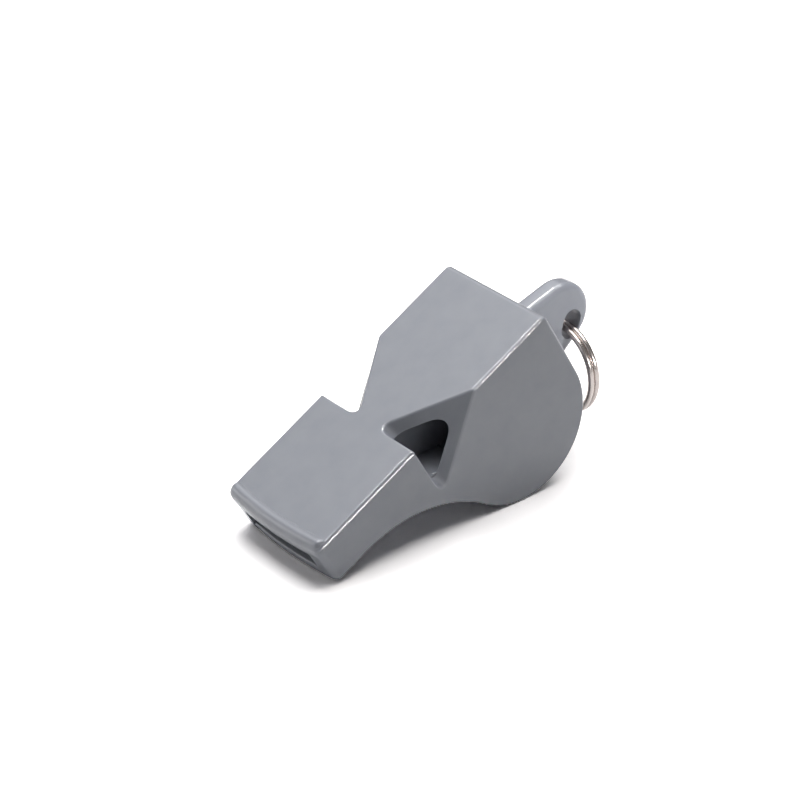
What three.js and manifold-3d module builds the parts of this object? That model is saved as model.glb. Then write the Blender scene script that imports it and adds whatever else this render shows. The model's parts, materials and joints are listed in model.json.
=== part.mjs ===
// Pealess three-chamber whistle with a split ring, in millimetres, +Z up.
// It stands as it lies on a table: on the round belly and on the front edge of the mouthpiece.
// The mouldings are drawn in the whistle's own frame: x runs back from the lip along the flat top,
// y runs across the whistle, and z is square to the flat top, which lies at z = 0.
import * as THREE from 'three';
import { mergeVertices } from 'three/addons/utils/BufferGeometryUtils.js';
import Module from 'manifold-3d';

const wasm = await Module();
wasm.setup();

// Outer form
const WIDTH = 21;
const TOP_LENGTH = 46.1;
const MOUTH_HEIGHT = 7.15;
const DRUM_RADIUS = 11.75;
const DRUM_DEPTH = 24.4;
const THROAT_RADIUS = 21;
const SIDE_EDGE_ROUND = 0.6;
const BACK_EDGE_ROUND = 1.0;

// Lip: bowed front edge with a raised bead to bite on
const LIP_BOW = 0.7;
const LIP_CORNER_ROUND = 0.4;
const BEAD_LENGTH = 2.2;
const BEAD_HEIGHT = 0.55;

// Walls and air spaces
const LIP_THICKNESS = 2.9;
const WINDWAY_HEIGHT = 1.9;
const TOP_WALL = 1.4;
const SIDE_WALL = 1.3;
const DRUM_WALL = 1.6;
const PARTITION_WALL = 1.5;
const PARTITION_START = 5;
const CENTRE_CHAMBER_WIDTH = 5;
const CHAMBER_CORNER_ROUND = 2.4;
const CHAMBER_FLOOR_DEPTH = 7.5;
const NEAR_STOP_BEHIND_DRUM = 4;
const FAR_STOP_BEHIND_DRUM = 1.5;
const STOP_WALL = 1.2;
const CENTRE_WINDOW_START = 18;
const CENTRE_WINDOW_LENGTH = 5;

// Side notches: a wall square to the top and an oblique wall that cuts the chamber open
const NOTCH_START = 19.3;
const NOTCH_LENGTH = 11.9;
const NOTCH_DEPTH = 10.4;
const NECK_WIDTH = 3.9;
const NOTCH_CORNER_ROUND = 1;

// Lug and its oval eye: the lug's edges flare from its round end to the back wall
const LUG_THICKNESS = 3.5;
const LUG_RADIUS = 4.95;
const LUG_REACH = 6.2;
const LUG_DEPTH = 12.1;
const LUG_UPPER_FLARE_DEG = 11;
const LUG_LOWER_FLARE_DEG = 14.5;
const LUG_EDGE_ROUND = 0.8;
const EYE_RADIUS = 1.6;
const EYE_TRAVEL = 1.2;
const EYE_LEAN_DEG = 45;
const EYE_DROP = 2.65;

// Split ring: two turns of round wire with one joggle between them
const RING_RADIUS = 6.85;
const WIRE_DIAMETER = 0.8;
const TURN_GAP = 0.42;
const JOGGLE_DEG = 28;
const END_CLEARANCE_DEG = 3;
const JOGGLE_PLACE_DEG = 230;
const RING_SIDES = 8;
const RING_STEPS = 72;

// Seams
const FIT_GAP = 0.3;
const BACK_SEAM_DEG = 45;

// How finely round stretches are divided and measured, and how far a cutter runs past what it cuts
const ARC_STEPS = 12;
const EDGE_STEPS = 3;
const BOW_STEPS = 12;
const OVERRUN = 4;
const MERGE_DISTANCE = 1e-4;
const GAP_SAMPLES = 720;

// Places that follow from the sizes
const halfWidth = WIDTH / 2;
const innerHalf = halfWidth - SIDE_WALL;
const centreHalf = CENTRE_CHAMBER_WIDTH / 2;
const partitionFace = centreHalf + PARTITION_WALL;
const windwayFloor = -(LIP_THICKNESS + WINDWAY_HEIGHT);
const drum = new THREE.Vector2(TOP_LENGTH - DRUM_RADIUS, DRUM_RADIUS - DRUM_DEPTH);
const drumInner = DRUM_RADIUS - DRUM_WALL;
const below = -DRUM_DEPTH - OVERRUN;
const seamAngle = -THREE.MathUtils.degToRad(BACK_SEAM_DEG);

const throatZ = -MOUTH_HEIGHT - THROAT_RADIUS;
const throatX = drum.x - Math.sqrt((THROAT_RADIUS + DRUM_RADIUS) ** 2 - (drum.y - throatZ) ** 2);
const throatAngle = Math.atan2(drum.y - throatZ, drum.x - throatX);

const eyeLean = THREE.MathUtils.degToRad(EYE_LEAN_DEG);
const lugEnd = new THREE.Vector2(TOP_LENGTH + LUG_REACH, -LUG_DEPTH);
const eyeLow = new THREE.Vector2(lugEnd.x, lugEnd.y - EYE_DROP);
const eyeHigh = new THREE.Vector2(Math.sin(eyeLean), Math.cos(eyeLean))
  .multiplyScalar(EYE_TRAVEL).add(eyeLow);

const plastic = { color: 0x8a8c90, roughness: 0.45, metalness: 0 };
const nickel = { color: 0xc2bcb4, roughness: 0.25, metalness: 1 };

// Solids
function toSolid(geometry) {
  const bare = geometry.clone();
  bare.deleteAttribute('normal');
  bare.deleteAttribute('uv');
  const merged = mergeVertices(bare, MERGE_DISTANCE);
  return new wasm.Manifold(new wasm.Mesh({
    numProp: 3,
    vertProperties: new Float32Array(merged.attributes.position.array),
    triVerts: new Uint32Array(merged.index.array),
  }));
}

function toMesh(name, solid, finish) {
  const { vertProperties, triVerts } = solid.getMesh();
  const geometry = new THREE.BufferGeometry();
  geometry.setAttribute('position', new THREE.BufferAttribute(new Float32Array(vertProperties), 3));
  geometry.setIndex(new THREE.BufferAttribute(new Uint32Array(triVerts), 1));
  geometry.computeVertexNormals();
  const mesh = new THREE.Mesh(geometry, new THREE.MeshStandardMaterial(finish));
  mesh.name = name;
  return mesh;
}

// A side-view outline (x, z) made solid from y = low to y = high, with rounded edges if asked.
function acrossWidth(shape, low, high, round = 0) {
  const geometry = new THREE.ExtrudeGeometry(shape, {
    depth: high - low - 2 * round,
    curveSegments: ARC_STEPS,
    bevelEnabled: round > 0,
    bevelThickness: round,
    bevelSize: round,
    bevelOffset: -round,
    bevelSegments: EDGE_STEPS,
  });
  return geometry.rotateX(Math.PI / 2).translate(0, high - round, 0);
}

// A cross-section (y, z) made solid from x = low to x = high.
function alongLength(shape, low, high) {
  const geometry = new THREE.ExtrudeGeometry(shape, {
    depth: high - low, curveSegments: ARC_STEPS, bevelEnabled: false,
  });
  const turn = new THREE.Matrix4().makeBasis(
    new THREE.Vector3(0, 1, 0), new THREE.Vector3(0, 0, 1), new THREE.Vector3(1, 0, 0));
  return geometry.applyMatrix4(turn).translate(low, 0, 0);
}

function box(x0, x1, y0, y1, z0, z1) {
  const geometry = new THREE.BoxGeometry(x1 - x0, y1 - y0, z1 - z0);
  return toSolid(geometry.translate((x0 + x1) / 2, (y0 + y1) / 2, (z0 + z1) / 2));
}

// The whistle's side view, running past the lip so that the bowed front can be cut from it.
function sideOutline() {
  const shape = new THREE.Shape();
  shape.moveTo(-OVERRUN, 0);
  shape.lineTo(TOP_LENGTH - BACK_EDGE_ROUND, 0);
  shape.absarc(TOP_LENGTH - BACK_EDGE_ROUND, -BACK_EDGE_ROUND, BACK_EDGE_ROUND, Math.PI / 2, 0, true);
  shape.lineTo(TOP_LENGTH, drum.y);
  shape.absarc(drum.x, drum.y, DRUM_RADIUS, 0, throatAngle - Math.PI, true);
  shape.absarc(throatX, throatZ, THROAT_RADIUS, throatAngle, Math.PI / 2, false);
  shape.lineTo(-OVERRUN, -MOUTH_HEIGHT);
  return shape;
}

// The plan view, with the lip's bow and rounded corners.
function planSolid() {
  const inset = LIP_CORNER_ROUND;
  const shape = new THREE.Shape();
  shape.moveTo(inset, halfWidth);
  shape.quadraticCurveTo(0, halfWidth, 0, halfWidth - inset);
  shape.quadraticCurveTo(-2 * LIP_BOW, 0, 0, inset - halfWidth);
  shape.quadraticCurveTo(0, -halfWidth, inset, -halfWidth);
  shape.lineTo(TOP_LENGTH + OVERRUN, -halfWidth);
  shape.lineTo(TOP_LENGTH + OVERRUN, halfWidth);
  const geometry = new THREE.ExtrudeGeometry(shape, {
    depth: DRUM_DEPTH + 2 * OVERRUN, curveSegments: ARC_STEPS, bevelEnabled: false,
  });
  return toSolid(geometry.translate(0, 0, below));
}

// The bead: a half-oval ridge along the lip, bent to the lip's bow.
function beadSolid() {
  const oval = new THREE.Shape();
  oval.absellipse(BEAD_LENGTH / 2, 0, BEAD_LENGTH / 2, BEAD_HEIGHT, 0, 2 * Math.PI, false, 0);
  const reach = halfWidth - SIDE_EDGE_ROUND;
  const geometry = new THREE.ExtrudeGeometry(oval, {
    depth: 2 * reach, steps: BOW_STEPS, curveSegments: ARC_STEPS, bevelEnabled: false,
  });
  geometry.rotateX(Math.PI / 2).translate(0, reach, 0);
  const bowHalf = halfWidth - LIP_CORNER_ROUND;
  const place = geometry.attributes.position;
  for (let i = 0; i < place.count; i += 1) {
    const share = place.getY(i) / bowHalf;
    place.setX(i, place.getX(i) - LIP_BOW * (1 - share * share));
  }
  return toSolid(geometry);
}

// One side's notch as a wedge whose rounded inner edge runs from the neck down to the side face.
function notchSolid(side) {
  const inner = new THREE.Vector3(NOTCH_START, side * NECK_WIDTH / 2, 0);
  const lower = new THREE.Vector3(NOTCH_START, side * halfWidth, -NOTCH_DEPTH);
  const rear = new THREE.Vector3(NOTCH_START + NOTCH_LENGTH, side * halfWidth, 0);
  const along = lower.clone().sub(inner).normalize();
  const back = new THREE.Vector3(1, 0, 0);
  const outward = new THREE.Vector3(NOTCH_START, side * halfWidth, 0).sub(inner);
  outward.addScaledVector(along, -outward.dot(along)).normalize();
  const toRear = rear.clone().sub(inner);
  const opening = Math.atan2(toRear.dot(back), toRear.dot(outward));
  const reach = NOTCH_LENGTH + NOTCH_DEPTH + WIDTH;
  const tip = NOTCH_CORNER_ROUND / Math.tan(opening / 2);
  const wedge = new THREE.Shape();
  wedge.moveTo(reach, 0);
  wedge.lineTo(reach * Math.cos(opening), reach * Math.sin(opening));
  wedge.lineTo(tip * Math.cos(opening), tip * Math.sin(opening));
  wedge.absarc(tip, NOTCH_CORNER_ROUND, NOTCH_CORNER_ROUND, Math.PI / 2 + opening, 1.5 * Math.PI, false);
  const geometry = new THREE.ExtrudeGeometry(wedge, {
    depth: 2 * reach, curveSegments: EDGE_STEPS, bevelEnabled: false,
  });
  const axis = outward.clone().cross(back);
  const place = new THREE.Matrix4().makeBasis(outward, back, axis);
  place.setPosition(inner.clone().addScaledVector(axis, -reach));
  return toSolid(geometry.applyMatrix4(place));
}

// The room that the base insert takes, grown by gap: everything under its upper faces.
function insertOutline(gap) {
  const floor = windwayFloor + gap;
  const step = -CHAMBER_FLOOR_DEPTH + gap;
  const radius = drumInner - gap;
  const meet = Math.PI - Math.asin((step - drum.y) / radius);
  const end = seamAngle + gap / DRUM_RADIUS;
  const far = DRUM_RADIUS + OVERRUN;
  const shape = new THREE.Shape();
  shape.moveTo(-OVERRUN, below);
  shape.lineTo(drum.x + far * Math.cos(end), below);
  shape.lineTo(drum.x + far * Math.cos(end), drum.y + far * Math.sin(end));
  shape.lineTo(drum.x + radius * Math.cos(end), drum.y + radius * Math.sin(end));
  shape.absarc(drum.x, drum.y, radius, end, meet - 2 * Math.PI, true);
  shape.lineTo(NOTCH_START + gap, step);
  shape.lineTo(NOTCH_START + gap, floor);
  shape.lineTo(-OVERRUN, floor);
  return shape;
}

// Side view of a chamber: its ceiling, the back wall and the drum, open below.
function chamberOutline(start, ceiling) {
  const far = DRUM_RADIUS + OVERRUN;
  const shape = new THREE.Shape();
  shape.moveTo(start, ceiling);
  shape.lineTo(start, below);
  shape.lineTo(drum.x + far * Math.cos(seamAngle), below);
  shape.lineTo(drum.x + drumInner * Math.cos(seamAngle), drum.y + drumInner * Math.sin(seamAngle));
  shape.absarc(drum.x, drum.y, drumInner, seamAngle, 0, false);
  shape.lineTo(TOP_LENGTH - DRUM_WALL, ceiling);
  return shape;
}

// One side chamber: its rounded section all along, with a stop wall that sets its length.
function sideChamber(side, stop) {
  const low = Math.min(side * partitionFace, side * innerHalf);
  const high = Math.max(side * partitionFace, side * innerHalf);
  const round = CHAMBER_CORNER_ROUND;
  const section = new THREE.Shape();
  section.moveTo(side * partitionFace, below);
  section.lineTo(side * partitionFace, -TOP_WALL);
  section.lineTo(side * (innerHalf - round), -TOP_WALL);
  section.quadraticCurveTo(side * innerHalf, -TOP_WALL, side * innerHalf, -TOP_WALL - round);
  section.lineTo(side * innerHalf, below);
  const tunnel = toSolid(alongLength(section, NOTCH_START, TOP_LENGTH));
  const room = toSolid(acrossWidth(chamberOutline(NOTCH_START, -TOP_WALL), low, high));
  const wall = box(stop, stop + STOP_WALL, low, high, below, 0);
  const windway = box(PARTITION_START - OVERRUN, NOTCH_START + FIT_GAP, low, high, below, -LIP_THICKNESS);
  return tunnel.intersect(room).subtract(wall).add(windway);
}

// The lug: a flat tab with a round end, drawn (x, z) and sunk into the back wall.
function lugSolid() {
  const root = TOP_LENGTH - 2 * DRUM_WALL;
  const upper = THREE.MathUtils.degToRad(LUG_UPPER_FLARE_DEG);
  const lower = THREE.MathUtils.degToRad(LUG_LOWER_FLARE_DEG);
  const reach = lugEnd.x - root;
  const shape = new THREE.Shape();
  shape.moveTo(root, lugEnd.y + LUG_RADIUS / Math.cos(upper) + reach * Math.tan(upper));
  shape.lineTo(lugEnd.x + LUG_RADIUS * Math.sin(upper), lugEnd.y + LUG_RADIUS * Math.cos(upper));
  shape.absarc(lugEnd.x, lugEnd.y, LUG_RADIUS, Math.PI / 2 - upper, lower - Math.PI / 2, true);
  shape.lineTo(root, lugEnd.y - LUG_RADIUS / Math.cos(lower) - reach * Math.tan(lower));
  const half = LUG_THICKNESS / 2;
  return toSolid(acrossWidth(shape, -half, half, LUG_EDGE_ROUND));
}

function eyeSolid() {
  const shape = new THREE.Shape();
  shape.absarc(eyeLow.x, eyeLow.y, EYE_RADIUS, Math.PI - eyeLean, 2 * Math.PI - eyeLean, false);
  shape.absarc(eyeHigh.x, eyeHigh.y, EYE_RADIUS, -eyeLean, Math.PI - eyeLean, false);
  return toSolid(acrossWidth(shape, -LUG_THICKNESS, LUG_THICKNESS));
}

// Top, sides, back wall, lug, partitions and notches in one moulding, open underneath.
function bodyShell(notches) {
  const outer = toSolid(acrossWidth(sideOutline(), -halfWidth, halfWidth, SIDE_EDGE_ROUND));
  const centre = chamberOutline(PARTITION_START - OVERRUN, -LIP_THICKNESS);
  const rooms = toSolid(acrossWidth(insertOutline(FIT_GAP), -innerHalf, innerHalf))
    .add(box(-OVERRUN, PARTITION_START, -innerHalf, innerHalf, below, -LIP_THICKNESS))
    .add(toSolid(acrossWidth(centre, -centreHalf, centreHalf)))
    .add(sideChamber(-1, drum.x + NEAR_STOP_BEHIND_DRUM))
    .add(sideChamber(1, drum.x + FAR_STOP_BEHIND_DRUM));
  return outer.add(beadSolid()).intersect(planSolid()).add(lugSolid())
    .subtract(rooms).subtract(notches).subtract(eyeSolid());
}

// Lower lip, windway floor, throat and belly in one moulding, set between the shell's side walls.
function baseInsert(notches) {
  const reach = innerHalf - FIT_GAP;
  const outer = toSolid(acrossWidth(sideOutline(), -halfWidth, halfWidth));
  const room = toSolid(acrossWidth(insertOutline(0), -reach, reach));
  const windowEnd = CENTRE_WINDOW_START + CENTRE_WINDOW_LENGTH;
  const window = box(CENTRE_WINDOW_START, windowEnd, -centreHalf, centreHalf, below, 0);
  return outer.intersect(room).intersect(planSolid()).subtract(window).subtract(notches);
}

// The split ring's wire: one turn, a joggle of one pitch, and a second turn beside the first.
// The ring hangs from the origin in the YZ plane, and its two turns lie side by side along X.
class RingWire extends THREE.Curve {
  constructor() {
    super();
    this.pitch = WIRE_DIAMETER + TURN_GAP;
    this.joggle = THREE.MathUtils.degToRad(JOGGLE_DEG);
    const cut = this.joggle + 2 * THREE.MathUtils.degToRad(END_CLEARANCE_DEG);
    this.sweep = 4 * Math.PI - cut;
    this.start = THREE.MathUtils.degToRad(JOGGLE_PLACE_DEG) + cut / 2;
  }

  getPoint(t, target = new THREE.Vector3()) {
    const turned = t * this.sweep;
    const along = THREE.MathUtils.clamp((turned - this.sweep / 2) / this.joggle, -0.5, 0.5);
    const side = 0.5 * this.pitch * Math.sin(Math.PI * along);
    const angle = this.start + turned;
    return target.set(side, -RING_RADIUS * Math.sin(angle), RING_RADIUS * (Math.cos(angle) - 1));
  }

  // Least clear distance between stretches of wire at least half a turn apart.
  leastGap(count) {
    const points = this.getPoints(count);
    const apart = Math.round(count * Math.PI / this.sweep);
    let least = Infinity;
    for (let i = 0; i <= count; i += 1) {
      for (let j = i + apart; j <= count; j += 1) {
        least = Math.min(least, points[i].distanceTo(points[j]));
      }
    }
    return least - WIRE_DIAMETER;
  }
}

function splitRing() {
  const wire = new RingWire();
  const section = new THREE.Shape();
  section.absarc(0, 0, WIRE_DIAMETER / 2, 0, 2 * Math.PI, false);
  const geometry = new THREE.ExtrudeGeometry(section, {
    steps: RING_STEPS, curveSegments: RING_SIDES / 2, extrudePath: wire, bevelEnabled: false,
  });
  console.log(`least gap of the split ring to itself: ${wire.leastGap(GAP_SAMPLES).toFixed(3)} mm`);
  return toMesh('split_ring', toSolid(geometry), nickel);
}

// The flat top slopes so that the lip's lower edge and the drum touch the table together.
const standing = drum.clone().sub(new THREE.Vector2(-LIP_BOW, -MOUTH_HEIGHT));
const slope = Math.asin(DRUM_RADIUS / standing.length()) - Math.atan2(standing.y, standing.x);

const notches = notchSolid(-1).add(notchSolid(1));
const whistle = new THREE.Group();
whistle.add(toMesh('body_shell', bodyShell(notches), plastic));
whistle.add(toMesh('base_insert', baseInsert(notches), plastic));
whistle.rotation.y = -slope;

// The origin is under the middle of the whistle, on the table.
whistle.updateMatrixWorld(true);
const bounds = new THREE.Box3().setFromObject(whistle, true);
whistle.position.set(-(bounds.min.x + bounds.max.x) / 2, 0, -bounds.min.z);
whistle.updateMatrixWorld(true);

const ring = splitRing();
ring.position.set(eyeLow.x, 0, eyeLow.y).applyMatrix4(whistle.matrixWorld);

const part = new THREE.Group();
part.add(whistle, ring);

export default part;
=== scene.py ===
import json
import math

import bpy
from mathutils import Euler, Matrix, Vector


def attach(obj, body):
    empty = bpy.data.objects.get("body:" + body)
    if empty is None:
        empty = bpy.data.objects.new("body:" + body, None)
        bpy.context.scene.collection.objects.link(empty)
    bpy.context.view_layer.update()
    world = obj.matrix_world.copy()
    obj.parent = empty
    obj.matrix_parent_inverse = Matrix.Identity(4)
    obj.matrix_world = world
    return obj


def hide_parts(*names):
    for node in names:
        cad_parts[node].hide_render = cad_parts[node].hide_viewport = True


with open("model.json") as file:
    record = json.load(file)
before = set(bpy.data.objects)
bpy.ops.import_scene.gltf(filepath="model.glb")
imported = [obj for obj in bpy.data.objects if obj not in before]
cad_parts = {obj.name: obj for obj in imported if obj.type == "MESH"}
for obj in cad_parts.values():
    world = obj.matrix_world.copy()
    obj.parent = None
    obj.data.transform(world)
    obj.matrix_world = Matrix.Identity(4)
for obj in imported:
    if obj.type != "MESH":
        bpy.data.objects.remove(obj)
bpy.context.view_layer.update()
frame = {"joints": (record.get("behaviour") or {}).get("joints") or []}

# Sizes in millimetres, in the whistle's own frame: x runs back from the lip along the flat top,
# y runs across, and z is square to the flat top, which lies at z = 0.

# The body
WIDTH = 21.0
TOP_LENGTH = 46.1
MOUTH_HEIGHT = 7.15
DRUM_RADIUS = 11.75
DRUM_DEPTH = 24.4
THROAT_RADIUS = 21.0
BACK_EDGE = 1.0
SEAM = 0.1
BACK_SEAM = math.radians(45)

# The lip, its bead and the mouth
LIP_BOW = 0.7
LIP_CORNER = 1.2
LIP_THICKNESS = 2.9
LOWER_LIP_BACK = 0.1
LOWER_LIP_ROUND = 0.3
RIM_WIDTH = 2.85
RIM_DEPTH = 2.2
BEAD_BACK = 2.2
BEAD_FACE = 0.12
BEAD_HEIGHT = 0.55
BEAD_SINK = 1.3
BEAD_END = 1.0
BEAD_INSET = 0.03
BEAD_TIP = 0.12
SLOT_ROUND = 0.9

# Walls and chambers
WINDWAY_HEIGHT = 2.7
TOP_WALL = 1.55
SIDE_WALL = 1.3
DRUM_WALL = 1.6
PARTITION_WALL = 1.5
PARTITION_START = 5.0
CENTRE_CHAMBER = 5.0
CENTRE_START = 1.0
CENTRE_WINDOW = (18.0, 23.0)
CHAMBER_FLOOR = 9.3
CHAMBER_OUTER_ROUND = 2.4
CHAMBER_INNER_ROUND = 0.9
SILL = 6.8
STOP_WALL = 1.2
STOP_PLACES = {-1: 4.0, 1: 1.5}

# The notches
NOTCH_START = 19.3
NOTCH_LENGTH = 12.3
NOTCH_DEPTH = 10.4
NOTCH_CORNER = 2.0
NECK_WIDTH = 3.9

# The lug and its eye
LUG_THICKNESS = 3.5
LUG_RADIUS = 4.95
LUG_REACH = 6.2
LUG_DEPTH = 12.1
LUG_FLARES = (math.radians(11), math.radians(14.5))
LUG_EDGE = 1.1
EYE_RADIUS = 1.6
EYE_TRAVEL = 1.2
EYE_LEAN = math.radians(45)
EYE_DROP = 2.65
EYE_RIM = ((0.06, 0.965), (0.1, 0.97))

# The ring
RING_RADIUS = 6.85
RING_JOGGLE = math.radians(34)
RING_END_GAP = math.radians(1.5)
RING_TURNED = math.radians(158.5)
WIRE = 0.96
TURN_SHIFT = 0.505 * WIRE

# How far the body's edges are rounded
FRONT_TOP_ROUND = 0.62
REAR_TOP_ROUND = 0.45
SIDE_ROUND = 0.5
MOUTH_ROUND = 0.5
NOTCH_FRONT_ROUND = 0.4
NOTCH_REAR_ROUND = 0.25
NOTCH_SIDE_ROUND = 0.3

# Spare stock ahead of the lip, and how far cutters reach past what they cut. The rims' cutter also
# trims other cutters, so it reaches further than they do.
LIP_STOCK = 4.0
PAST = 1.0
CUT_AHEAD = -9.0
CUT_BELOW = -30.0
MOUTH_CUT_AHEAD = -6.0
MOUTH_CUT_BELOW = -8.0
RIM_CUT_LOW = (-12.0, -32.0)
RIM_CUT_ABOVE = 2.0
RIM_CUT_SIDE = 12.0
LIP_CUT_HEIGHT = 12.0
SLOT_CUT_AHEAD = 2.0
SLOT_CUT_UNDER = 0.6
DRUM_CUT = 4.0
CHAMBER_LAP = 0.2
WINDWAY_LAP = 0.1
WEDGE_REACH = 45.0
EYE_CUT = 4.0

# Points this near each other count as touching, and are merged where they are doubles or leftovers.
CLOSE = 0.01
DOUBLE = 0.001
LEFTOVER = 0.004
SLIVER = 0.002

HALF = WIDTH / 2
INNER = HALF - SIDE_WALL
MOUTH = HALF - RIM_WIDTH
PARTITION_FACE = CENTRE_CHAMBER / 2 + PARTITION_WALL
DRUM_X = TOP_LENGTH - DRUM_RADIUS
DRUM_Z = DRUM_RADIUS - DRUM_DEPTH
DRUM_INNER = DRUM_RADIUS - DRUM_WALL
THROAT_Z = -MOUTH_HEIGHT - THROAT_RADIUS
THROAT_X = DRUM_X - math.sqrt((THROAT_RADIUS + DRUM_RADIUS) ** 2 - (DRUM_Z - THROAT_Z) ** 2)
THROAT_TURN = math.atan2(DRUM_Z - THROAT_Z, DRUM_X - THROAT_X)
LIP_ARC = (HALF ** 2 + LIP_BOW ** 2) / (2 * LIP_BOW)
LUG_X = TOP_LENGTH + LUG_REACH

# The whistle stands on its lip and its drum, and its eye and the ring meet at the joint.
MM = 0.001
SLOPE = math.asin(DRUM_RADIUS / math.hypot(DRUM_X + LIP_BOW, DRUM_Z + MOUTH_HEIGHT)) \
    - math.atan2(DRUM_Z + MOUTH_HEIGHT, DRUM_X + LIP_BOW)
PIVOT = Vector(frame["joints"][0]["pos_m"])
TURN = Matrix.Rotation(-SLOPE, 4, "Y")
STAND = Matrix.Translation(PIVOT - TURN @ Vector((LUG_X, 0, -LUG_DEPTH - EYE_DROP)) * MM) \
    @ TURN @ Matrix.Scale(MM, 4)
HANG = Matrix.Translation(PIVOT - Vector((0, 0, RING_RADIUS * MM))) \
    @ Matrix.Rotation(RING_TURNED, 4, "X") @ Matrix.Scale(MM, 4)


# Drawing by hand
def deselect():
    """Leaves edit mode with nothing selected."""
    if bpy.context.mode != "OBJECT":
        bpy.ops.object.mode_set(mode="OBJECT")
    bpy.ops.object.select_all(action="DESELECT")


def pick(piece):
    """Selects one piece and nothing else."""
    deselect()
    piece.select_set(True)
    bpy.context.view_layer.objects.active = piece


def added(name):
    """Names the shape that was just added."""
    piece = bpy.context.active_object
    piece.name = name
    return piece


def edit_all():
    """Opens the active piece for editing with all of it selected."""
    bpy.ops.object.mode_set(mode="EDIT")
    bpy.ops.mesh.select_all(action="SELECT")


def clear_choice(kind):
    """Deselects the active piece's edges or faces, so that some can be selected by their place."""
    bpy.ops.object.mode_set(mode="EDIT")
    bpy.ops.mesh.select_mode(type=kind)
    bpy.ops.mesh.select_all(action="DESELECT")
    bpy.ops.object.mode_set(mode="OBJECT")


def draw_out(run):
    """Extrudes what is selected by a run in x, y and z."""
    bpy.ops.mesh.extrude_region_move(TRANSFORM_OT_translate={"value": run})


def face_outward():
    """Turns the faces of the piece being edited outwards and leaves edit mode."""
    bpy.ops.mesh.select_all(action="SELECT")
    bpy.ops.mesh.normals_make_consistent(inside=False)
    bpy.ops.object.mode_set(mode="OBJECT")


def outline(name, start, steps):
    """A flat side view drawn from a point, in lines to a point and arcs about a centre."""
    deselect()
    bpy.ops.mesh.primitive_plane_add(size=1, location=(0, 0, 0))
    piece = added(name)
    bpy.ops.object.mode_set(mode="EDIT")
    bpy.ops.mesh.select_mode(type="VERT")
    bpy.ops.mesh.select_all(action="SELECT")
    bpy.ops.mesh.merge(type="CENTER")
    bpy.ops.transform.translate(value=(start[0], 0, start[1]))
    here = Vector(start)
    for step in steps:
        if step[0] == "line":
            there = Vector(step[1])
            run = there - here
            bpy.ops.mesh.extrude_vertices_move(
                TRANSFORM_OT_translate={"value": (run.x, 0, run.y)})
        else:
            centre, turn, count = Vector(step[1]), step[2], step[3]
            bpy.ops.mesh.spin(steps=count, angle=turn, center=(centre.x, 0, centre.y),
                              axis=(0, 1, 0))
            arm = here - centre
            there = centre + Vector((arm.x * math.cos(turn) - arm.y * math.sin(turn),
                                     arm.x * math.sin(turn) + arm.y * math.cos(turn)))
        here = there
    bpy.ops.mesh.select_all(action="SELECT")
    bpy.ops.mesh.remove_doubles(threshold=DOUBLE)
    bpy.ops.mesh.edge_face_add()
    return piece


def across(piece, low, high):
    """Gives a drawn outline its thickness from y = low to y = high."""
    bpy.ops.mesh.select_all(action="SELECT")
    bpy.ops.transform.translate(value=(0, low, 0))
    draw_out((0, high - low, 0))
    face_outward()
    return piece


def block(name, low, high):
    """A square block between two opposite corners."""
    deselect()
    low, high = Vector(low), Vector(high)
    bpy.ops.mesh.primitive_cube_add(size=1, location=(low + high) / 2)
    piece = added(name)
    piece.scale = high - low
    bpy.ops.object.transform_apply(location=True, rotation=True, scale=True)
    return piece


def drum_room(name, low, high):
    """The round hollow of the drum between two places across the whistle."""
    deselect()
    bpy.ops.mesh.primitive_cylinder_add(vertices=96, radius=DRUM_INNER, depth=high - low,
                                        location=(DRUM_X, (low + high) / 2, DRUM_Z),
                                        rotation=(math.pi / 2, 0, 0))
    piece = added(name)
    bpy.ops.object.transform_apply(location=True, rotation=True, scale=True)
    return piece


def combine(piece, tool, how):
    """Joins a second solid to a piece, cuts it away or keeps what they share, and clears it."""
    pick(piece)
    change = piece.modifiers.new("combine", "BOOLEAN")
    change.operation = how
    change.solver = "EXACT"
    change.object = tool
    bpy.ops.object.modifier_apply(modifier=change.name)
    bpy.data.objects.remove(tool, do_unlink=True)
    return piece


def weld(piece):
    """Merges the hair-thin leftovers of a cut."""
    pick(piece)
    edit_all()
    bpy.ops.mesh.remove_doubles(threshold=LEFTOVER)
    bpy.ops.mesh.dissolve_degenerate(threshold=SLIVER)
    bpy.ops.object.mode_set(mode="OBJECT")


def edges_of(mesh):
    """Each edge of a mesh with its two ends and the normals of the faces beside it."""
    beside = {}
    for face in mesh.polygons:
        for key in face.edge_keys:
            beside.setdefault(key, []).append(face.normal)
    for edge in mesh.edges:
        a, b = (mesh.vertices[i].co for i in edge.vertices)
        yield edge, a, b, beside.get(edge.key, [])


def round_edges(piece, test, radius, count):
    """Bevels the edges whose two ends and face normals pass the test."""
    pick(piece)
    clear_choice("EDGE")
    for edge, a, b, normals in edges_of(piece.data):
        edge.select = test(a, b, normals)
    bpy.ops.object.mode_set(mode="EDIT")
    bpy.ops.mesh.bevel(offset=radius, segments=count, affect="EDGES", clamp_overlap=False)
    bpy.ops.object.mode_set(mode="OBJECT")


def corner(normals, least):
    """Whether the two faces beside an edge turn by more than so many degrees."""
    return len(normals) == 2 and normals[0].angle(normals[1], 0) > math.radians(least)


# The solids of the whistle
def side_slab(name, half):
    """The whistle's side view given its thickness, with spare material ahead of the lip."""
    piece = outline(name, (-LIP_STOCK, 0), [
        ("line", (TOP_LENGTH - BACK_EDGE, 0)),
        ("arc", (TOP_LENGTH - BACK_EDGE, -BACK_EDGE), -math.pi / 2, 8),
        ("line", (TOP_LENGTH, DRUM_Z)),
        ("arc", (DRUM_X, DRUM_Z), THROAT_TURN - math.pi, 64),
        ("arc", (THROAT_X, THROAT_Z), math.pi / 2 - THROAT_TURN, 40),
        ("line", (-LIP_STOCK, -MOUTH_HEIGHT))])
    return across(piece, -half, half)


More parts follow.
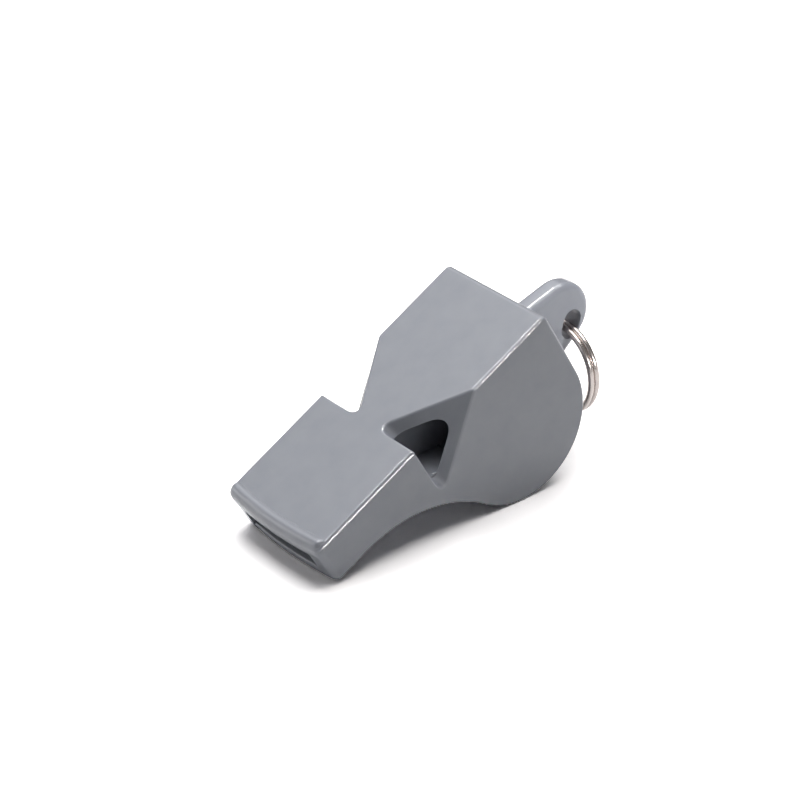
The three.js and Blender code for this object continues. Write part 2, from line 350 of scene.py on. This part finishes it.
def lip_trimmer(back=0.0):
    """What lies ahead of the bowed lip and its two rounded corners."""
    middle = LIP_ARC - LIP_BOW
    tip = HALF - LIP_CORNER
    swing = math.asin(tip / (LIP_ARC - LIP_CORNER))
    start = middle - math.sqrt((LIP_ARC - LIP_CORNER) ** 2 - tip ** 2)
    piece = outline("lip_trimmer", (CUT_AHEAD, HALF + PAST), [
        ("line", (start, HALF + PAST)),
        ("line", (start, HALF)),
        ("arc", (start, tip), math.pi / 2 - swing, 10),
        ("arc", (middle, 0), 2 * swing, 32),
        ("arc", (start, -tip), math.pi / 2 - swing, 10),
        ("line", (start, -HALF - PAST)),
        ("line", (CUT_AHEAD, -HALF - PAST))])
    across(piece, -LIP_CUT_HEIGHT, LIP_CUT_HEIGHT)
    pick(piece)
    piece.rotation_euler = (-math.pi / 2, 0, 0)
    piece.location = (back, 0, 0)
    bpy.ops.object.transform_apply(location=True, rotation=True)
    return piece


def notch_wedge(side):
    """One side's notch: a wedge with a rounded inner edge from the neck down to the side face."""
    inner = Vector((NOTCH_START, side * NECK_WIDTH / 2, 0))
    lower = Vector((NOTCH_START, side * HALF, -NOTCH_DEPTH))
    rear = Vector((NOTCH_START + NOTCH_LENGTH, side * HALF, 0))
    along = (lower - inner).normalized()
    back = Vector((1, 0, 0))
    outward = Vector((NOTCH_START, side * HALF, 0)) - inner
    outward = (outward - along * outward.dot(along)).normalized()
    opening = math.atan2((rear - inner).dot(back), (rear - inner).dot(outward))
    piece = outline("notch_wedge", (0, 0), [
        ("line", (WEDGE_REACH, 0)),
        ("line", (WEDGE_REACH * math.cos(opening), WEDGE_REACH * math.sin(opening)))])
    across(piece, -WEDGE_REACH, WEDGE_REACH)
    round_edges(piece, lambda a, b, n: abs(a.x) + abs(a.z) + abs(b.x) + abs(b.z) < CLOSE,
                NOTCH_CORNER, 8)
    turn = Matrix((outward, back.cross(outward), back)).transposed().to_4x4()
    pick(piece)
    piece.matrix_world = Matrix.Translation(inner) @ turn
    bpy.ops.object.transform_apply(location=True, rotation=True, scale=True)
    edit_all()
    face_outward()
    return piece


def insert_room(gap, low, high):
    """The room of the base moulding, with everything below it."""
    floor = -LIP_THICKNESS - WINDWAY_HEIGHT + gap
    sill = -SILL + gap
    step = -CHAMBER_FLOOR + gap
    radius = DRUM_INNER - gap
    meet = math.pi - math.asin((step - DRUM_Z) / radius)
    end = gap / DRUM_RADIUS - BACK_SEAM
    far = DRUM_RADIUS + DRUM_CUT
    piece = outline("insert_room", (CUT_AHEAD, CUT_BELOW), [
        ("line", (DRUM_X + far * math.cos(end), CUT_BELOW)),
        ("line", (DRUM_X + far * math.cos(end), DRUM_Z + far * math.sin(end))),
        ("line", (DRUM_X + radius * math.cos(end), DRUM_Z + radius * math.sin(end))),
        ("arc", (DRUM_X, DRUM_Z), meet - 2 * math.pi - end, 48),
        ("line", (NOTCH_START + gap, sill)),
        ("line", (NOTCH_START + gap, floor)),
        ("line", (CUT_AHEAD, floor))])
    return across(piece, low, high)


def rim_trimmed(piece, gap):
    """Takes the lip's two corner rims out of a solid that fills the mouth."""
    ahead, below = RIM_CUT_LOW
    for side in (-1, 1):
        low, high = sorted((side * (MOUTH - gap), side * RIM_CUT_SIDE))
        rim = block("corner_rim", (ahead, low, below), (RIM_DEPTH + gap, high, RIM_CUT_ABOVE))
        combine(piece, rim, "DIFFERENCE")
    return piece


def centre_chamber():
    """The middle room, from the mouth to the drum."""
    half = CENTRE_CHAMBER / 2
    piece = block("centre_chamber", (CENTRE_START, -half, DRUM_Z),
                  (TOP_LENGTH - DRUM_WALL, half, -LIP_THICKNESS))
    return combine(piece, drum_room("centre_drum", -half, half), "UNION")


def side_chamber(side):
    """The room behind one notch, with its stop wall left in the drum, and the windway to it."""
    low, high = sorted((side * PARTITION_FACE, side * INNER))
    piece = block("side_chamber", (NOTCH_START - CHAMBER_LAP, low, DRUM_Z),
                  (TOP_LENGTH - DRUM_WALL, high, -TOP_WALL))
    for wall, radius, count in ((side * INNER, CHAMBER_OUTER_ROUND, 8),
                                (side * PARTITION_FACE, CHAMBER_INNER_ROUND, 5)):
        round_edges(piece, lambda a, b, n: min(a.z, b.z) > -TOP_WALL - CLOSE
                    and abs(a.y - wall) + abs(b.y - wall) < CLOSE, radius, count)
    combine(piece, drum_room("side_drum", low, high), "UNION")
    stop = DRUM_X + STOP_PLACES[side]
    combine(piece, block("stop_wall", (stop, low - PAST, CUT_BELOW),
                         (stop + STOP_WALL, high + PAST, PAST)), "DIFFERENCE")
    windway = block("windway", (RIM_DEPTH, low, MOUTH_CUT_BELOW),
                    (NOTCH_START + WINDWAY_LAP, high, -LIP_THICKNESS))
    return combine(piece, windway, "UNION")


def bead():
    """The ridge along the lip: an oval drawn out along the lip's bow, smaller at its ends."""
    deselect()
    bpy.ops.mesh.primitive_circle_add(vertices=40, radius=1, fill_type="NGON",
                                      location=(0, 0, 0), rotation=(math.pi / 2, 0, 0))
    piece = added("bead")
    bpy.ops.object.transform_apply(rotation=True)
    reach = HALF - BEAD_INSET
    straight = 2 * reach - 2 * BEAD_END
    spans = 24
    ends = [BEAD_END * (1 - math.cos(math.radians(a))) for a in range(0, 91, 10)]
    stations = [-reach + run for run in ends]
    stations += [-reach + BEAD_END + straight * k / spans for k in range(1, spans)]
    stations += [reach - run for run in reversed(ends)]
    rise = BEAD_HEIGHT + BEAD_SINK
    at_top = math.sqrt(1 - (BEAD_SINK / rise) ** 2)

    def half_length(y):
        past = max(0.0, abs(y) - HALF + LIP_CORNER)
        turned = LIP_CORNER - math.sqrt(LIP_CORNER ** 2 - past ** 2)
        return (BEAD_BACK + BEAD_FACE - turned) / (1 + at_top)

    def bowed(y):
        return BEAD_BACK - LIP_BOW * (1 - (y / HALF) ** 2) - half_length(y) * at_top

    def swell(y):
        run = min(1.0, (reach - abs(y)) / BEAD_END)
        return max(BEAD_TIP, math.sqrt(1 - (1 - run) ** 2))

    edit_all()
    y, size = stations[0], swell(stations[0])
    place = (bowed(y), y, -BEAD_SINK)
    bpy.ops.transform.translate(value=place)
    bpy.ops.transform.resize(value=(half_length(y), 1, rise * size), center_override=place)
    for station in stations[1:]:
        draw_out((bowed(station) - bowed(y), station - y, 0))
        bpy.ops.transform.resize(
            value=(half_length(station) / half_length(y), 1, swell(station) / size),
            center_override=(bowed(station), station, -BEAD_SINK))
        y, size = station, swell(station)
    face_outward()
    return piece


def slot_rounding():
    """What is taken off the upper lip's lower edge, following the lip's bow."""
    bow = LIP_BOW * (1 - (MOUTH / HALF) ** 2)
    edge = -LIP_THICKNESS
    ahead, under = -bow - SLOT_CUT_AHEAD, edge - SLOT_CUT_UNDER
    piece = outline("slot_rounding", (ahead, edge + SLOT_ROUND), [
        ("line", (-bow, edge + SLOT_ROUND)),
        ("arc", (SLOT_ROUND - bow, edge + SLOT_ROUND), math.pi / 2, 8),
        ("line", (SLOT_ROUND - bow, under)),
        ("line", (ahead, under))])
    bpy.ops.mesh.select_all(action="SELECT")
    bpy.ops.transform.translate(value=(0, -MOUTH, 0))
    spans = 24
    step = 2 * MOUTH / spans
    y = -MOUTH
    for _ in range(spans):
        draw_out((LIP_BOW * ((y + step) ** 2 - y ** 2) / HALF ** 2, step, 0))
        y += step
    face_outward()
    return piece


def eye():
    """The oval hole of the lug, a little wider at both rims."""
    low = Vector((LUG_X, -LUG_DEPTH - EYE_DROP))
    side = Vector((math.cos(EYE_LEAN), -math.sin(EYE_LEAN))) * EYE_RADIUS
    run = Vector((math.sin(EYE_LEAN), math.cos(EYE_LEAN))) * EYE_TRAVEL
    piece = outline("eye", tuple(low - side), [
        ("arc", tuple(low), math.pi, 24),
        ("line", tuple(low + side + run)),
        ("arc", tuple(low + run), math.pi, 24)])
    middle = low + run / 2
    place = (middle.x, 0, middle.y)
    across(piece, -EYE_CUT, -LUG_THICKNESS / 2)
    pick(piece)
    clear_choice("FACE")
    for face in piece.data.polygons:
        face.select = face.normal.y > 0.9
    bpy.ops.object.mode_set(mode="EDIT")
    rims = sum(rise for rise, grow in EYE_RIM)
    narrowing = [*EYE_RIM, (LUG_THICKNESS - 2 * rims, 1)]
    widening = [(rise, 1 / grow) for rise, grow in reversed(EYE_RIM)]
    for rise, grow in narrowing + widening + [(EYE_CUT - LUG_THICKNESS / 2, 1)]:
        draw_out((0, rise, 0))
        bpy.ops.transform.resize(value=(grow, 1, grow), center_override=place)
    mouth = 1 / math.prod(grow for rise, grow in EYE_RIM)
    bpy.ops.mesh.select_all(action="SELECT")
    bpy.ops.transform.resize(value=(mouth, 1, mouth), center_override=place)
    face_outward()
    return piece


def lug():
    """The flat tongue behind the drum, with its eye."""
    upper, lower = LUG_FLARES
    root = TOP_LENGTH - 2 * DRUM_WALL
    reach = LUG_X - root
    top = -LUG_DEPTH + LUG_RADIUS / math.cos(upper) + reach * math.tan(upper)
    bottom = -LUG_DEPTH - LUG_RADIUS / math.cos(lower) - reach * math.tan(lower)
    piece = outline("lug", (root, top), [
        ("line", (LUG_X + LUG_RADIUS * math.sin(upper), -LUG_DEPTH + LUG_RADIUS * math.cos(upper))),
        ("arc", (LUG_X, -LUG_DEPTH), upper + lower - math.pi, 40),
        ("line", (root, bottom))])
    across(piece, -LUG_THICKNESS / 2, LUG_THICKNESS / 2)
    round_edges(piece, lambda a, b, n: abs(a.y - b.y) < CLOSE and corner(n, 60), LUG_EDGE, 6)
    return combine(piece, eye(), "DIFFERENCE")


def edge_rounding(a, b):
    """How far an edge of the trimmed block is rounded, by where it lies."""
    front, rear = min(a.x, b.x), max(a.x, b.x)
    on_top = abs(a.z) + abs(b.z) < CLOSE
    on_side = abs(abs(a.y) - HALF) + abs(abs(b.y) - HALF) < CLOSE
    at_lip = rear < LIP_CORNER
    if on_top and (on_side or at_lip):
        return FRONT_TOP_ROUND if rear < NOTCH_START + CLOSE else REAR_TOP_ROUND
    if at_lip and max(a.z, b.z) < 2 * CLOSE - MOUTH_HEIGHT:
        return MOUTH_ROUND
    if on_top:
        notch_front = abs(a.x - NOTCH_START) + abs(b.x - NOTCH_START) < 2 * CLOSE
        return NOTCH_FRONT_ROUND if notch_front else NOTCH_REAR_ROUND
    margin = 10 * CLOSE
    along_notch = NOTCH_START - margin < front and rear < NOTCH_START + NOTCH_LENGTH + margin
    if on_side and along_notch and min(a.z, b.z) > -NOTCH_DEPTH - margin:
        return NOTCH_SIDE_ROUND
    return SIDE_ROUND if on_side else 0


def shell():
    """The upper moulding: outside first, then the bead and the lug, then the rooms inside."""
    piece = side_slab("body_shell_skin", HALF)
    combine(piece, lip_trimmer(), "DIFFERENCE")
    for side in (-1, 1):
        combine(piece, notch_wedge(side), "DIFFERENCE")
    weld(piece)
    weight = piece.data.attributes.new("bevel_weight_edge", "FLOAT", "EDGE")
    for edge, a, b, normals in edges_of(piece.data):
        if corner(normals, 25):
            weight.data[edge.index].value = edge_rounding(a, b)
    pick(piece)
    # One millimetre wide, so that an edge's weight is its rounding.
    soft = piece.modifiers.new("soft_edges", "BEVEL")
    soft.limit_method = "WEIGHT"
    soft.width = 1.0
    soft.segments = 5
    soft.use_clamp_overlap = False
    bpy.ops.object.modifier_apply(modifier=soft.name)
    combine(piece, bead(), "UNION")
    combine(piece, lug(), "UNION")
    combine(piece, rim_trimmed(insert_room(SEAM, -INNER, INNER), 0), "DIFFERENCE")
    mouth = block("mouth", (MOUTH_CUT_AHEAD, -INNER, MOUTH_CUT_BELOW),
                  (PARTITION_START, INNER, -LIP_THICKNESS))
    combine(piece, rim_trimmed(mouth, 0), "DIFFERENCE")
    combine(piece, centre_chamber(), "DIFFERENCE")
    for side in (-1, 1):
        combine(piece, side_chamber(side), "DIFFERENCE")
    return combine(piece, slot_rounding(), "DIFFERENCE")


def base():
    """The lower moulding, a seam's width clear of the upper one."""
    piece = side_slab("base_insert_skin", INNER - SEAM)
    combine(piece, lip_trimmer(LOWER_LIP_BACK), "DIFFERENCE")
    combine(piece, insert_room(0, -HALF, HALF), "INTERSECT")
    rim_trimmed(piece, SEAM)
    front, rear = CENTRE_WINDOW
    window = block("centre_window", (front, -CENTRE_CHAMBER / 2, CUT_BELOW),
                   (rear, CENTRE_CHAMBER / 2, 0))
    combine(piece, window, "DIFFERENCE")
    for side in (-1, 1):
        combine(piece, notch_wedge(side), "DIFFERENCE")
    round_edges(piece, lambda a, b, n: max(a.x, b.x) < LIP_CORNER and abs(a.z - b.z) < CLOSE
                and corner(n, 60), LOWER_LIP_ROUND, 4)
    return piece


def ring():
    """Two touching turns of round wire, with a joggle from the one to the other."""
    deselect()
    bpy.ops.mesh.primitive_circle_add(vertices=20, radius=WIRE / 2, fill_type="NGON",
                                      location=(0, 0, 0))
    piece = added("split_ring_wire")
    edit_all()
    bpy.ops.transform.translate(value=(-TURN_SHIFT, -RING_RADIUS, 0))

    def wind(angle, count):
        bpy.ops.mesh.spin(steps=count, angle=angle, center=(0, 0, 0), axis=(-1, 0, 0))

    turn = 2 * math.pi - RING_JOGGLE - RING_END_GAP
    wind(turn, 150)
    spans = 16
    swings = [math.sin(math.pi * (k / spans - 0.5)) for k in range(spans + 1)]
    for before, after in zip(swings, swings[1:]):
        wind(RING_JOGGLE / spans, 1)
        bpy.ops.transform.translate(value=(TURN_SHIFT * (after - before), 0, 0))
    wind(turn, 150)
    bpy.ops.mesh.select_all(action="SELECT")
    bpy.ops.mesh.remove_doubles(threshold=DOUBLE)
    face_outward()
    return piece


def settle(piece, place):
    """Puts a finished piece in its place, with its place in its mesh and its shading smooth."""
    pick(piece)
    piece.matrix_world = place
    bpy.ops.object.transform_apply(location=True, rotation=True, scale=True)
    bpy.ops.object.shade_smooth_by_angle(angle=math.radians(40))
    even = piece.modifiers.new("even_shading", "WEIGHTED_NORMAL")
    even.mode = "FACE_AREA"
    even.weight = 100
    even.keep_sharp = True
    bpy.ops.object.modifier_apply(modifier=even.name)
    return piece


shell_piece = settle(shell(), STAND)
base_piece = settle(base(), STAND)
ring_piece = settle(ring(), HANG)

for piece, body, node, finish in ((shell_piece, "whistle", "body_shell", "grey_plastic"),
                                  (base_piece, "whistle", "base_insert", "grey_plastic"),
                                  (ring_piece, "ring", "split_ring", "nickel_wire")):
    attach(piece, body)
    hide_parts(node)


# Finishes, with sizes in metres
GREYS = (0.246, 0.257, 0.292), (0.264, 0.275, 0.308)
NICKELS = (0.57, 0.51, 0.485), (0.65, 0.59, 0.56)
TABLE_SIZE = 1.0
TABLE_WHITE = (0.88, 0.88, 0.88)
TABLE_SHOWN = (1.65, 1.61, 1.6)
REFLECTED_WHITE = 0.15


def new_material(name):
    """A material with its node tree and its shader."""
    material = bpy.data.materials.new(name)
    material.use_nodes = True
    return material, material.node_tree, material.node_tree.nodes["Principled BSDF"]


def surface_noise():
    """The group that every finish shares: broad patches and fine grain."""
    group = bpy.data.node_groups.new("surface_noise", "ShaderNodeTree")
    for name, value in (("Patch size", 0.004), ("Grain size", 0.0002)):
        socket = group.interface.new_socket(name, in_out="INPUT", socket_type="NodeSocketFloat")
        socket.default_value = value
    for name in ("Patches", "Grain"):
        group.interface.new_socket(name, in_out="OUTPUT", socket_type="NodeSocketFloat")
    given = group.nodes.new("NodeGroupInput")
    made = group.nodes.new("NodeGroupOutput")
    place = group.nodes.new("ShaderNodeTexCoord")
    for size, name, detail in (("Patch size", "Patches", 3), ("Grain size", "Grain", 2)):
        per_metre = group.nodes.new("ShaderNodeMath")
        per_metre.operation = "DIVIDE"
        per_metre.inputs[0].default_value = 1
        noise = group.nodes.new("ShaderNodeTexNoise")
        noise.inputs["Detail"].default_value = detail
        group.links.new(given.outputs[size], per_metre.inputs[1])
        group.links.new(per_metre.outputs["Value"], noise.inputs["Scale"])
        group.links.new(place.outputs["Object"], noise.inputs["Vector"])
        group.links.new(noise.outputs["Fac"], made.inputs[name])
    return group


SPECKLE = surface_noise()


def speckle(tree, patch, grain):
    """The shared patches and grain at a finish's own sizes."""
    node = tree.nodes.new("ShaderNodeGroup")
    node.node_tree = SPECKLE
    node.inputs["Patch size"].default_value = patch
    node.inputs["Grain size"].default_value = grain
    return node


def blend(tree, factor, first, second):
    """A colour between two."""
    node = tree.nodes.new("ShaderNodeMix")
    node.data_type = "RGBA"
    node.clamp_result = False
    node.inputs["A"].default_value = (*first, 1)
    node.inputs["B"].default_value = (*second, 1)
    tree.links.new(factor, node.inputs["Factor"])
    return node.outputs["Result"]


def spread(tree, factor, low, high):
    """A noise, which keeps near its middle, spread from a low value to a high one."""
    node = tree.nodes.new("ShaderNodeMapRange")
    node.inputs["From Min"].default_value = 0.3
    node.inputs["From Max"].default_value = 0.7
    node.inputs["To Min"].default_value = low
    node.inputs["To Max"].default_value = high
    tree.links.new(factor, node.inputs["Value"])
    return node.outputs["Result"]


def relief(tree, height, depth, strength):
    """The normals of a faintly uneven surface."""
    node = tree.nodes.new("ShaderNodeBump")
    node.inputs["Strength"].default_value = strength
    node.inputs["Distance"].default_value = depth
    tree.links.new(height, node.inputs["Height"])
    return node.outputs["Normal"]


def moulded_plastic():
    """Grey plastic with a satin body and a thin bright skin."""
    material, tree, shader = new_material("moulded_grey_plastic")
    noise = speckle(tree, patch=0.003, grain=0.00025)
    patches = spread(tree, noise.outputs["Patches"], 0, 1)
    tree.links.new(blend(tree, patches, *GREYS), shader.inputs["Base Color"])
    roughness = spread(tree, noise.outputs["Patches"], 0.37, 0.43)
    tree.links.new(roughness, shader.inputs["Roughness"])
    normal = relief(tree, noise.outputs["Grain"], depth=0.00002, strength=0.05)
    tree.links.new(normal, shader.inputs["Normal"])
    tree.links.new(normal, shader.inputs["Coat Normal"])
    shader.inputs["Specular IOR Level"].default_value = 0.3
    shader.inputs["Coat Weight"].default_value = 1.0
    shader.inputs["Coat Roughness"].default_value = 0.05
    shader.inputs["Subsurface Weight"].default_value = 0.5
    shader.inputs["Subsurface Radius"].default_value = (1, 1, 1)
    shader.inputs["Subsurface Scale"].default_value = 0.0008
    return material


def bright_nickel():
    """Warm bright metal."""
    material, tree, shader = new_material("bright_nickel")
    noise = speckle(tree, patch=0.0012, grain=0.0001)
    patches = spread(tree, noise.outputs["Patches"], 0, 1)
    tree.links.new(blend(tree, patches, *NICKELS), shader.inputs["Base Color"])
    roughness = spread(tree, noise.outputs["Grain"], 0.15, 0.24)
    tree.links.new(roughness, shader.inputs["Roughness"])
    shader.inputs["Metallic"].default_value = 1
    return material


plastic, nickel = moulded_plastic(), bright_nickel()
for piece, finish in ((shell_piece, plastic), (base_piece, plastic), (ring_piece, nickel)):
    piece.data.materials.clear()
    piece.data.materials.append(finish)


# Floor, light and camera, in metres
def shown_white(tree):
    """One for what the camera sees, a little for what the pieces reflect, else nothing."""
    ray = tree.nodes.new("ShaderNodeLightPath")
    share = tree.nodes.new("ShaderNodeMath")
    share.operation = "MULTIPLY_ADD"
    share.inputs[1].default_value = REFLECTED_WHITE
    tree.links.new(ray.outputs["Is Glossy Ray"], share.inputs[0])
    tree.links.new(ray.outputs["Is Camera Ray"], share.inputs[2])
    return share.outputs["Value"]


deselect()
bpy.ops.mesh.primitive_plane_add(size=TABLE_SIZE, location=(0, 0, 0))
floor = added("table")
floor_paint, tree, shader = new_material("white_table")
shader.inputs["Specular IOR Level"].default_value = 0
white = blend(tree, shown_white(tree), TABLE_WHITE, TABLE_SHOWN)
tree.links.new(white, shader.inputs["Base Color"])
noise = speckle(tree, patch=0.05, grain=0.001)
matt = spread(tree, noise.outputs["Grain"], 0.85, 0.95)
tree.links.new(matt, shader.inputs["Roughness"])
floor.data.materials.append(floor_paint)

world = bpy.data.worlds.new("white_room")
bpy.context.scene.world = world
world.use_nodes = True
room = world.node_tree
sky = room.nodes["Background"]
sky.inputs["Color"].default_value = (1, 1, 1, 1)
glow = room.nodes.new("ShaderNodeMapRange")
glow.inputs["To Min"].default_value = 0.04
room.links.new(shown_white(room), glow.inputs["Value"])
room.links.new(glow.outputs["Result"], sky.inputs["Strength"])

WHISTLE_MIDDLE = (0, 0, 0.01)
LUG_MIDDLE = (0.0237, -0.00175, 0.0207)


def add_light(kind, name, place, aim, power):
    """A lamp at a place, turned to what it is aimed at."""
    deselect()
    bpy.ops.object.light_add(type=kind, location=place)
    light = added(name)
    light.data.energy = power
    light.rotation_euler = (Vector(aim) - Vector(place)).to_track_quat("-Z", "Y").to_euler()
    return light


def panel(name, place, aim, size, power, tint=(1, 1, 1), shine_only=False):
    """A soft panel. One for shine only is seen in the gloss and doesn't light the surface."""
    light = add_light("AREA", name, place, aim, power)
    light.data.shape = "RECTANGLE"
    light.data.size, light.data.size_y = size
    light.data.color = tint
    light.visible_diffuse = not shine_only


panel("panel_overhead", (0.14, 0.05, 0.6), (0.1, 0.05, 0), (0.6, 0.6), 4.3)
panel("panel_behind", (0, 0.4, 0.6), WHISTLE_MIDDLE, (0.5, 0.5), 0.88, (0.93, 0.96, 1.0))
panel("panel_behind_right", (0.35, 0.35, 0.5), WHISTLE_MIDDLE, (0.4, 0.4), 0.55)
panel("panel_low_left", (-0.45, 0.3, 0.3), WHISTLE_MIDDLE, (0.6, 0.4), 0.45)
panel("bead_shine", (-0.38, 0.42, 0.12), WHISTLE_MIDDLE, (0.44, 0.3), 0.66, shine_only=True)
panel("edge_shine_overhead", (-0.035, 0.22, 0.56), (-0.035, 0, 0.01), (0.34, 0.04), 3.2,
      shine_only=True)
panel("edge_shine_front", (0.05, -0.55, 0.2), WHISTLE_MIDDLE, (0.16, 0.05), 3.0, shine_only=True)

lug_light = add_light("SPOT", "lug_light", (0.12, -0.38, 0.2), LUG_MIDDLE, 3.9)
lug_light.visible_glossy = False
lug_light.data.spot_size = math.radians(2.2)
lug_light.data.spot_blend = 0.6
lug_light.data.shadow_soft_size = 0.002

CAMERA_PLACE = (-0.212177, -0.266517, 0.211936)
CAMERA_TURN = (59.988, 1.33, -38.612)

deselect()
bpy.ops.object.camera_add(location=CAMERA_PLACE)
camera = bpy.context.active_object
camera.rotation_euler = Euler([math.radians(angle) for angle in CAMERA_TURN], "XYZ")
camera.data.lens = 126
camera.data.sensor_width = 36
camera.data.clip_start = 0.01
camera.data.clip_end = 20
bpy.context.scene.camera = camera
bpy.context.scene.view_settings.view_transform = "Standard"
